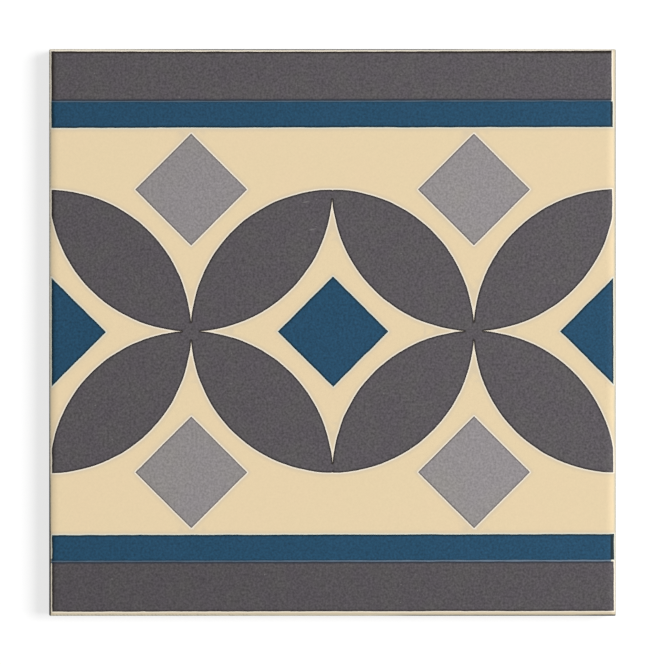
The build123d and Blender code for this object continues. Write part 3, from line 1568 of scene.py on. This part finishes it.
@dataclass(frozen=True)
class GroundGlaze(Finish):
    """The cream glaze all over: paler beside a print, thin and greyer where it rolls off the face, and
    darker there as painted shade.
    """

    halo_colour: Colour = WHITE
    halo_span: tuple[float, float] = (0.3 * MM, 0.6 * MM)
    halo_share: float = 0.8
    fringe_colour: Colour = WHITE
    fringe_span: tuple[float, float] = (0.5 * MM, 2.0 * MM)
    fringe_share: float = 0.5
    bleed_colour: Colour = WHITE
    bleed_span: tuple[float, float] = (0.2 * MM, 0.55 * MM)
    bleed_share: float = 0.65
    seam_colour: Colour = WHITE
    open_seam_colour: Colour = WHITE
    open_seam_span: tuple[float, float] = (-65 * MM, 90 * MM)
    seam_unevenness: float = 0.18
    wholly_seam: float = 0.98
    thin_and_shade_colour: Colour = WHITE
    thin_and_shade_span: tuple[float, float] = (0.2 * MM, 1.3 * MM)
    thin_and_shade_wave: float = 5 * MM
    thin_and_shade_unevenness: float = 0.2 * MM
    painted_shadow_colour: Colour = (0.004, 0.0035, 0.003, 1.0)
    painted_arris_shadows: tuple[PaintedArrisShadow, ...] = ()
    painted_shadow_above: tuple[float, float] = (6.4 * MM, 7.2 * MM)
    fray: float = 0.06 * MM
    half_side: float = 100 * MM

    def _marks(self, sheet: MaterialSheet, colour: Socket) -> Socket:
        """Add the thin roll with its painted shade, the fringe and halo beside prints, the seams and the
        painted shadow along the arrises.

        Args:
            sheet: The finish's sheet.
            colour: The colour so far.

        Returns:
            The colour with its marks.
        """
        # Thinner glaze near the sides, plus painted shade: the colour darkens where the face rolls off.
        uneven = sheet.either_way(sheet.place, self.thin_and_shade_wave, 2.0, 6.0, self.thin_and_shade_unevenness)
        distance = sheet.math("ADD", sheet.side_distance(self.half_side), uneven)
        thin_and_shade = sheet.ramp(distance, *self.thin_and_shade_span, 1.0, 0.0)
        colour = sheet.mix(thin_and_shade, colour, self.thin_and_shade_colour)
        edge = sheet.mesh_value("edge_distance")
        fringe = sheet.ramp(edge, *self.fringe_span, self.fringe_share, 0.0)
        colour = sheet.mix(fringe, colour, self.fringe_colour)
        halo = sheet.ramp(edge, *self.halo_span, self.halo_share, 0.0)
        colour = sheet.mix(halo, colour, self.halo_colour)
        bleed = sheet.ramp(sheet.mesh_value("blue_distance"), *self.bleed_span, self.bleed_share, 0.0)
        colour = sheet.mix(bleed, colour, self.bleed_colour)
        in_seam = sheet.math("GREATER_THAN", sheet.mesh_value("seam"), self.wholly_seam)
        colour = sheet.mix(in_seam, colour, self._seam(sheet))
        # Painted shadow: dark lines along parts of the arrises, where the side falls into shade.
        for arris_shadow in self.painted_arris_shadows:
            colour = sheet.mix(self._arris_shadow_mask(sheet, arris_shadow), colour, self.painted_shadow_colour)
        return colour

    def _seam(self, sheet: MaterialSheet) -> Socket:
        """Colour the seam between stripe and band, more open in the lower right of the face.

        Args:
            sheet: The finish's sheet.

        Returns:
            The seam's colour.
        """
        x, y, _ = sheet.axes(sheet.place)
        below = sheet.math("LESS_THAN", y, 0.0)
        open_share = sheet.math("MULTIPLY", sheet.ramp(x, *self.open_seam_span, 0.0, 1.0), below)
        colour = sheet.mix(open_share, self.seam_colour, self.open_seam_colour)
        return sheet.shaded(colour, sheet.either_way(sheet.place, 4 * MM, 2.0, 8.0, self.seam_unevenness))

    def _arris_shadow_mask(self, sheet: MaterialSheet, arris_shadow: PaintedArrisShadow) -> Socket:
        """Mask the painted shadow along one arris.

        Args:
            sheet: The finish's sheet.
            arris_shadow: Which arris, and how far along it.

        Returns:
            The mask.
        """
        places = sheet.axes(sheet.place)
        along = places[1 - arris_shadow.side.value[0]]
        first, full, last, gone = (place * MM for place in arris_shadow.run)
        coming = sheet.ramp(along, first, full, 0.0, arris_shadow.share)
        run = sheet.math("MULTIPLY", coming, sheet.ramp(along, last, gone, 1.0, 0.0))
        frayed = sheet.either_way(sheet.place, 3 * MM, 3.0, 7.0, self.fray)
        distance = sheet.math("ADD", sheet.side_distance(self.half_side, arris_shadow.side), frayed)
        width = arris_shadow.width * MM
        line = sheet.ramp(distance, 0.5 * width, width, 1.0, 0.0)
        above = sheet.ramp(places[2], *self.painted_shadow_above, 0.0, 1.0)
        return sheet.math("MULTIPLY", sheet.math("MULTIPLY", line, above), run)


@dataclass(frozen=True)
class PrintedGlaze(Finish):
    """A printed glaze: darker along its edge, partly glaze piled there and partly painted shade, with
    pinholes and light scuffs.
    """

    rim_colour: Colour = (0.0, 0.0, 0.0, 1.0)
    rim_full: float = 0.3 * MM
    rim_width: float = 0.82 * MM
    rim_share: float = 0.85
    right_rim: float = 1.0
    lower_rim: float = 1.0
    edge_shade_share: float = 0.85
    stripe_end_share: float = 0.0
    left_margin: tuple[float, float] = (-98.9 * MM, -97.6 * MM)
    right_margin: tuple[float, float] = (96 * MM, 98.4 * MM)
    upper_margin: tuple[float, float] = (98.2 * MM, 98.75 * MM)
    lower_margin: tuple[float, float] = (-98.4 * MM, -96 * MM)
    lower_band: tuple[float, float] = (-84 * MM, -78 * MM)
    stripe_end: tuple[float, float] = (97.95 * MM, 98.2 * MM)
    stripes: tuple[float, float] = (65 * MM, 66 * MM)
    seam_rim_colour: Colour = (0.0, 0.0, 0.0, 1.0)
    seam_rim_full: float = 0.2 * MM
    seam_rim_width: float = 0.85 * MM
    seam_rim_share: float = 0.0
    painted_light_gradient: float = 0.0
    lower_band_share: float = 0.0
    speck_share: float = 0.0
    speck_colour: Colour = (0.3, 0.29, 0.28, 1.0)
    speck_strength: float = 0.36
    speck_size: float = 0.3 * MM
    pinhole_spacing: float = 6 * MM
    scuff_spacing: float = 7 * MM
    scuff_share: float = 0.3
    scuff_stretch: float = 6.0
    scuff_turn: float = math.radians(12)
    half_side: float = 100 * MM

    def _marks(self, sheet: MaterialSheet, colour: Socket) -> Socket:
        """Add the painted light that lightens it to the right, the dark rim with its painted shade, the
        painted shade along the left and upper margins, the pinholes and the scuffs.

        Args:
            sheet: The finish's sheet.
            colour: The colour so far.

        Returns:
            The colour with its marks.
        """
        x, y, _ = sheet.axes(sheet.place)
        # Painted light: the print turns lighter towards the right.
        across = sheet.math("MULTIPLY", x, self.painted_light_gradient / self.half_side)
        denser = sheet.ramp(y, *self.lower_band, -self.lower_band_share, 0.0)
        colour = sheet.shaded(colour, sheet.math("ADD", across, denser))
        edge = sheet.mesh_value("edge_distance")
        # The dark rim is partly the glaze's own outline and partly painted shade of the raised edge; it is
        # weaker near the right and lower margins, where the light falls.
        rim = sheet.ramp(edge, self.rim_full, self.rim_width, self.rim_share, 0.0)
        rim = sheet.math("MULTIPLY", rim, sheet.ramp(x, *self.right_margin, 1.0, self.right_rim))
        rim = sheet.math("MULTIPLY", rim, sheet.ramp(y, *self.lower_margin, self.lower_rim, 1.0))
        # Painted shade: the prints darken along the left and upper margins, as edges turned away from the
        # light.
        left_painted_shade = sheet.ramp(x, *self.left_margin, self.edge_shade_share, 0.0)
        upper_painted_shade = sheet.ramp(y, *self.upper_margin, 0.0, self.edge_shade_share)
        rim = sheet.math("MAXIMUM", rim, sheet.math("MAXIMUM", left_painted_shade, upper_painted_shade))
        in_stripe = sheet.ramp(sheet.math("ABSOLUTE", y), *self.stripes, 0.0, self.stripe_end_share)
        stripe_pool = sheet.math("MULTIPLY", sheet.ramp(x, *self.stripe_end, 0.0, 1.0), in_stripe)
        rim = sheet.math("MAXIMUM", rim, stripe_pool)
        colour = sheet.mix(rim, colour, self.rim_colour)
        seam_edge = sheet.mesh_value("seam_distance")
        seam_rim = sheet.ramp(seam_edge, self.seam_rim_full, self.seam_rim_width, self.seam_rim_share, 0.0)
        colour = sheet.mix(seam_rim, colour, self.seam_rim_colour)
        pinholes = sheet.specks(self.pinhole_spacing, self.speck_size, self.speck_share)
        scuffs = sheet.specks(
            self.scuff_spacing,
            self.speck_size,
            self.scuff_share * self.speck_share,
            self.scuff_stretch,
            self.scuff_turn,
        )
        marks = sheet.math("MULTIPLY", sheet.math("MAXIMUM", pinholes, scuffs), self.speck_strength)
        return sheet.mix(marks, colour, self.speck_colour)


@dataclass(frozen=True)
class Biscuit(Finish):
    """The fired body where no glaze is: warm grey with iron specks, paler on the ribs."""

    rib_colour: Colour = WHITE
    rib_span: tuple[float, float] = (0.02 * MM, 0.35 * MM)
    rib_share: float = 0.7
    iron_colour: Colour = (0.1, 0.06, 0.035, 1.0)
    iron_spacing: float = 1.6 * MM
    iron_size: float = 0.26 * MM
    iron_share: float = 0.6
    iron_strength: float = 0.6

    def _marks(self, sheet: MaterialSheet, colour: Socket) -> Socket:
        """Add the paler ribs and the iron specks.

        Args:
            sheet: The finish's sheet.
            colour: The colour so far.

        Returns:
            The colour with its marks.
        """
        _, _, z = sheet.axes(sheet.place)
        worn = sheet.ramp(z, *self.rib_span, self.rib_share, 0.0)
        colour = sheet.mix(worn, colour, self.rib_colour)
        iron = sheet.specks(self.iron_spacing, self.iron_size, self.iron_share, layout="3D")
        return sheet.mix(sheet.math("MULTIPLY", iron, self.iron_strength), colour, self.iron_colour)


@dataclass
class Studio:
    """White floor, one large soft light, an even fill and the camera straight above."""

    frame_width: float = 234.57 * MM
    lens: float = 200.0
    sensor: float = 36.0
    near_clip: float = 0.05
    floor_size: float = 6.0
    floor_white: float = 0.32
    floor_lift: float = 0.72
    fill: float = 0.24
    key_share: float = 0.86
    key_distance: float = 12.0
    key_size: float = 6.0
    key_elevation: float = math.radians(44)
    key_azimuth: float = math.radians(8)

    def set_up(self, top: float) -> None:
        """Build the stage round the tile.

        Args:
            top: Height of the tile's face, in metres.
        """
        self._floor()
        self._fill()
        self._key()
        self._camera(top)
        bpy.context.scene.view_settings.view_transform = "Standard"

    def _shown(self, sheet: NodeSheet) -> Socket:
        """Tell the rays that show the background: from the camera, straight or by a gloss or a pane.

        Args:
            sheet: The sheet that the answer goes to.

        Returns:
            1 for such a ray, 0 for others.
        """
        path = sheet.node("ShaderNodeLightPath")
        rays = [path.outputs[f"Is {kind} Ray"] for kind in ("Camera", "Glossy", "Transmission")]
        return sheet.math("MINIMUM", sheet.total(*rays), 1.0)

    def _floor(self) -> None:
        """Lay a floor that shows white in full light and keeps the tile's shadow."""
        half = self.floor_size / 2
        mesh = bpy.data.meshes.new("floor")
        corners = [(-half, -half, 0), (half, -half, 0), (half, half, 0), (-half, half, 0)]
        mesh.from_pydata(corners, [], [(0, 1, 2, 3)])
        floor = bpy.data.objects.new("floor", mesh)
        bpy.context.scene.collection.objects.link(floor)
        material = bpy.data.materials.new("floor_white")
        material.use_nodes = True
        sheet = NodeSheet(material.node_tree)
        shader = material.node_tree.nodes["Principled BSDF"]
        white = (self.floor_white, self.floor_white, self.floor_white, 1.0)
        shader.inputs["Base Color"].default_value = white
        shader.inputs["Roughness"].default_value = 1.0
        shader.inputs["Specular IOR Level"].default_value = 0.0
        shader.inputs["Emission Color"].default_value = WHITE
        lift = sheet.math("MULTIPLY", self._shown(sheet), self.floor_lift)
        sheet.feed(shader.inputs["Emission Strength"], lift)
        mesh.materials.append(material)

    def _fill(self) -> None:
        """Light everything evenly, and show white where a ray misses the floor."""
        world = bpy.data.worlds.new("fill")
        world.use_nodes = True
        sheet = NodeSheet(world.node_tree)
        background = world.node_tree.nodes["Background"]
        background.inputs["Color"].default_value = WHITE
        lift = sheet.math("MULTIPLY", self._shown(sheet), 1.0 - self.fill)
        sheet.feed(background.inputs["Strength"], sheet.math("ADD", lift, self.fill))
        bpy.context.scene.world = world

    def _key(self) -> None:
        """Hang the soft light to the right."""
        lamp = bpy.data.lights.new("key", "AREA")
        lamp.shape = "SQUARE"
        lamp.size = self.key_size
        onto_face = math.sin(self.key_elevation)
        lamp.energy = self.key_share * math.pi**2 * self.key_distance**2 / onto_face
        key = bpy.data.objects.new("key", lamp)
        level = self.key_distance * math.cos(self.key_elevation)
        key.location = (
            level * math.cos(self.key_azimuth),
            level * math.sin(self.key_azimuth),
            self.key_distance * math.sin(self.key_elevation),
        )
        key.rotation_euler = Vector(key.location).to_track_quat("Z", "Y").to_euler()
        bpy.context.scene.collection.objects.link(key)

    def _camera(self, top: float) -> None:
        """Look straight down on the face.

        Args:
            top: Height of the tile's face, in metres.
        """
        camera = bpy.data.cameras.new("camera")
        camera.lens = self.lens
        camera.sensor_width = self.sensor
        camera.clip_start = self.near_clip
        view = bpy.data.objects.new("camera", camera)
        view.location = (0.0, 0.0, top + self.frame_width * self.lens / self.sensor)
        bpy.context.scene.collection.objects.link(view)
        bpy.context.scene.camera = view


def finishes() -> list[Finish]:
    """Choose the tile's five finishes.

    Returns:
        The finishes in the order of the skin's numbers.
    """
    return [
        GroundGlaze(
            "cream_ground_glaze",
            linear(226, 206, 168),
            linear(228, 205, 169),
            grain=0.04,
            roughness=0.6,
            bump_depth=0.01 * MM,
            halo_colour=linear(240, 232, 217),
            fringe_colour=linear(201, 189, 168),
            bleed_colour=linear(196, 206, 194),
            seam_colour=linear(74, 93, 110),
            open_seam_colour=linear(102, 120, 138),
            # Thin glaze colour, darkened as painted shade of the rolled edge.
            thin_and_shade_colour=linear(199, 191, 168),
            # Painted shadow lines along the arrises, darkest along the lower left and the lower right.
            painted_arris_shadows=(
                PaintedArrisShadow(Side.LEFT, (-300, -200, -75, 40), 1.0),
                PaintedArrisShadow(Side.LEFT, (-300, -200, -88, -40), 1.0, width=0.8),
                PaintedArrisShadow(Side.LOWER, (15, 32, 200, 300), 0.7),
                PaintedArrisShadow(Side.LOWER, (84, 93, 200, 300), 1.0, width=0.6),
                PaintedArrisShadow(Side.UPPER, (-90, -40, 30, 65), 1.0, width=0.42),
                PaintedArrisShadow(Side.RIGHT, (-300, -200, 200, 300), 0.25),
                PaintedArrisShadow(Side.RIGHT, (-60, 60, 200, 300), 0.3),
            ),
        ),
        PrintedGlaze(
            "charcoal_glaze",
            linear(84, 79, 84),
            linear(86, 85, 82),
            grain=0.6,
            roughness=0.62,
            bump_depth=0.015 * MM,
            patch_size=8 * MM,
            rim_colour=linear(30, 22, 13),
            rim_share=0.78,
            # Less rim near the right and lower margins, where the light falls.
            right_rim=0.3,
            lower_rim=0.75,
            edge_shade_share=0.92,
            seam_rim_colour=linear(26, 38, 52),
            seam_rim_width=1.0 * MM,
            seam_rim_share=0.8,
            # Painted light: lighter towards the right.
            painted_light_gradient=0.085,
            lower_band_share=0.12,
            speck_share=0.06,
        ),
        PrintedGlaze(
            "blue_glaze",
            linear(29, 69, 95),
            linear(33, 71, 98),
            grain=0.5,
            roughness=0.6,
            bump_depth=0.012 * MM,
            rim_colour=linear(1, 29, 37),
            rim_width=0.9 * MM,
            rim_share=0.9,
            stripe_end_share=0.95,
            seam_rim_colour=linear(6, 38, 50),
            seam_rim_width=0.55 * MM,
            seam_rim_share=0.35,
            painted_light_gradient=0.07,
            speck_share=0.02,
        ),
        PrintedGlaze(
            "light_grey_glaze",
            linear(141, 136, 138),
            linear(142, 139, 132),
            grain=0.34,
            roughness=0.62,
            bump_depth=0.015 * MM,
            rim_colour=linear(106, 97, 91),
            rim_width=0.6 * MM,
            painted_light_gradient=0.085,
        ),
        Biscuit(
            "unglazed_biscuit",
            linear(188, 178, 160),
            linear(180, 168, 148),
            grain=0.1,
            roughness=0.85,
            bump_depth=0.06 * MM,
            grain_size=0.7 * MM,
            rib_colour=linear(204, 196, 181),
        ),
    ]


def main() -> None:
    """Build the tile, then the stage it is shown on."""
    logging.basicConfig(level=logging.INFO)
    low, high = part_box(NODE)
    height = (high[2] - low[2]) / MM - BodySizes.print_relief
    body = BodySizes(half_side=(high[0] - low[0]) / 2 / MM, height=height)
    materials = [finish.material() for finish in finishes()]
    log.info("finishes: %s", ", ".join(material.name for material in materials))
    figure = PrintedFigure(
        FigureSizes(),
        (
            Screen(
                Surface.CHARCOAL,
                left=99.0,
                right=98.95,
                upper=98.92,
                lower=98.85,
                shift=(-0.05, 0.47),
                turn=math.radians(0.08),
                wander=0.1,
                seed=1.5,
                lean=0.0029,
                sag=0.25,
            ),
            Screen(
                Surface.BLUE,
                left=99.3,
                right=98.89,
                upper=98.8,
                lower=98.8,
                shift=(0.22, 0.52),
                turn=math.radians(0.1),
                wander=0.12,
                seed=7.5,
                lean=0.0011,
            ),
            Screen(
                Surface.LIGHT_GREY,
                left=99.0,
                right=99.0,
                upper=98.8,
                lower=98.8,
                shift=(0.05, 0.57),
                turn=math.radians(0.02),
                wander=0.06,
                seed=12.5,
            ),
        ),
        materials,
    )
    tile = FloorTile(body, figure, materials).build()
    log.info("%s: %d faces", tile.name, len(tile.data.polygons))
    Studio().set_up(high[2])
    log.info("stage: floor, fill, key light and camera")


if __name__ == "__main__":
    main()
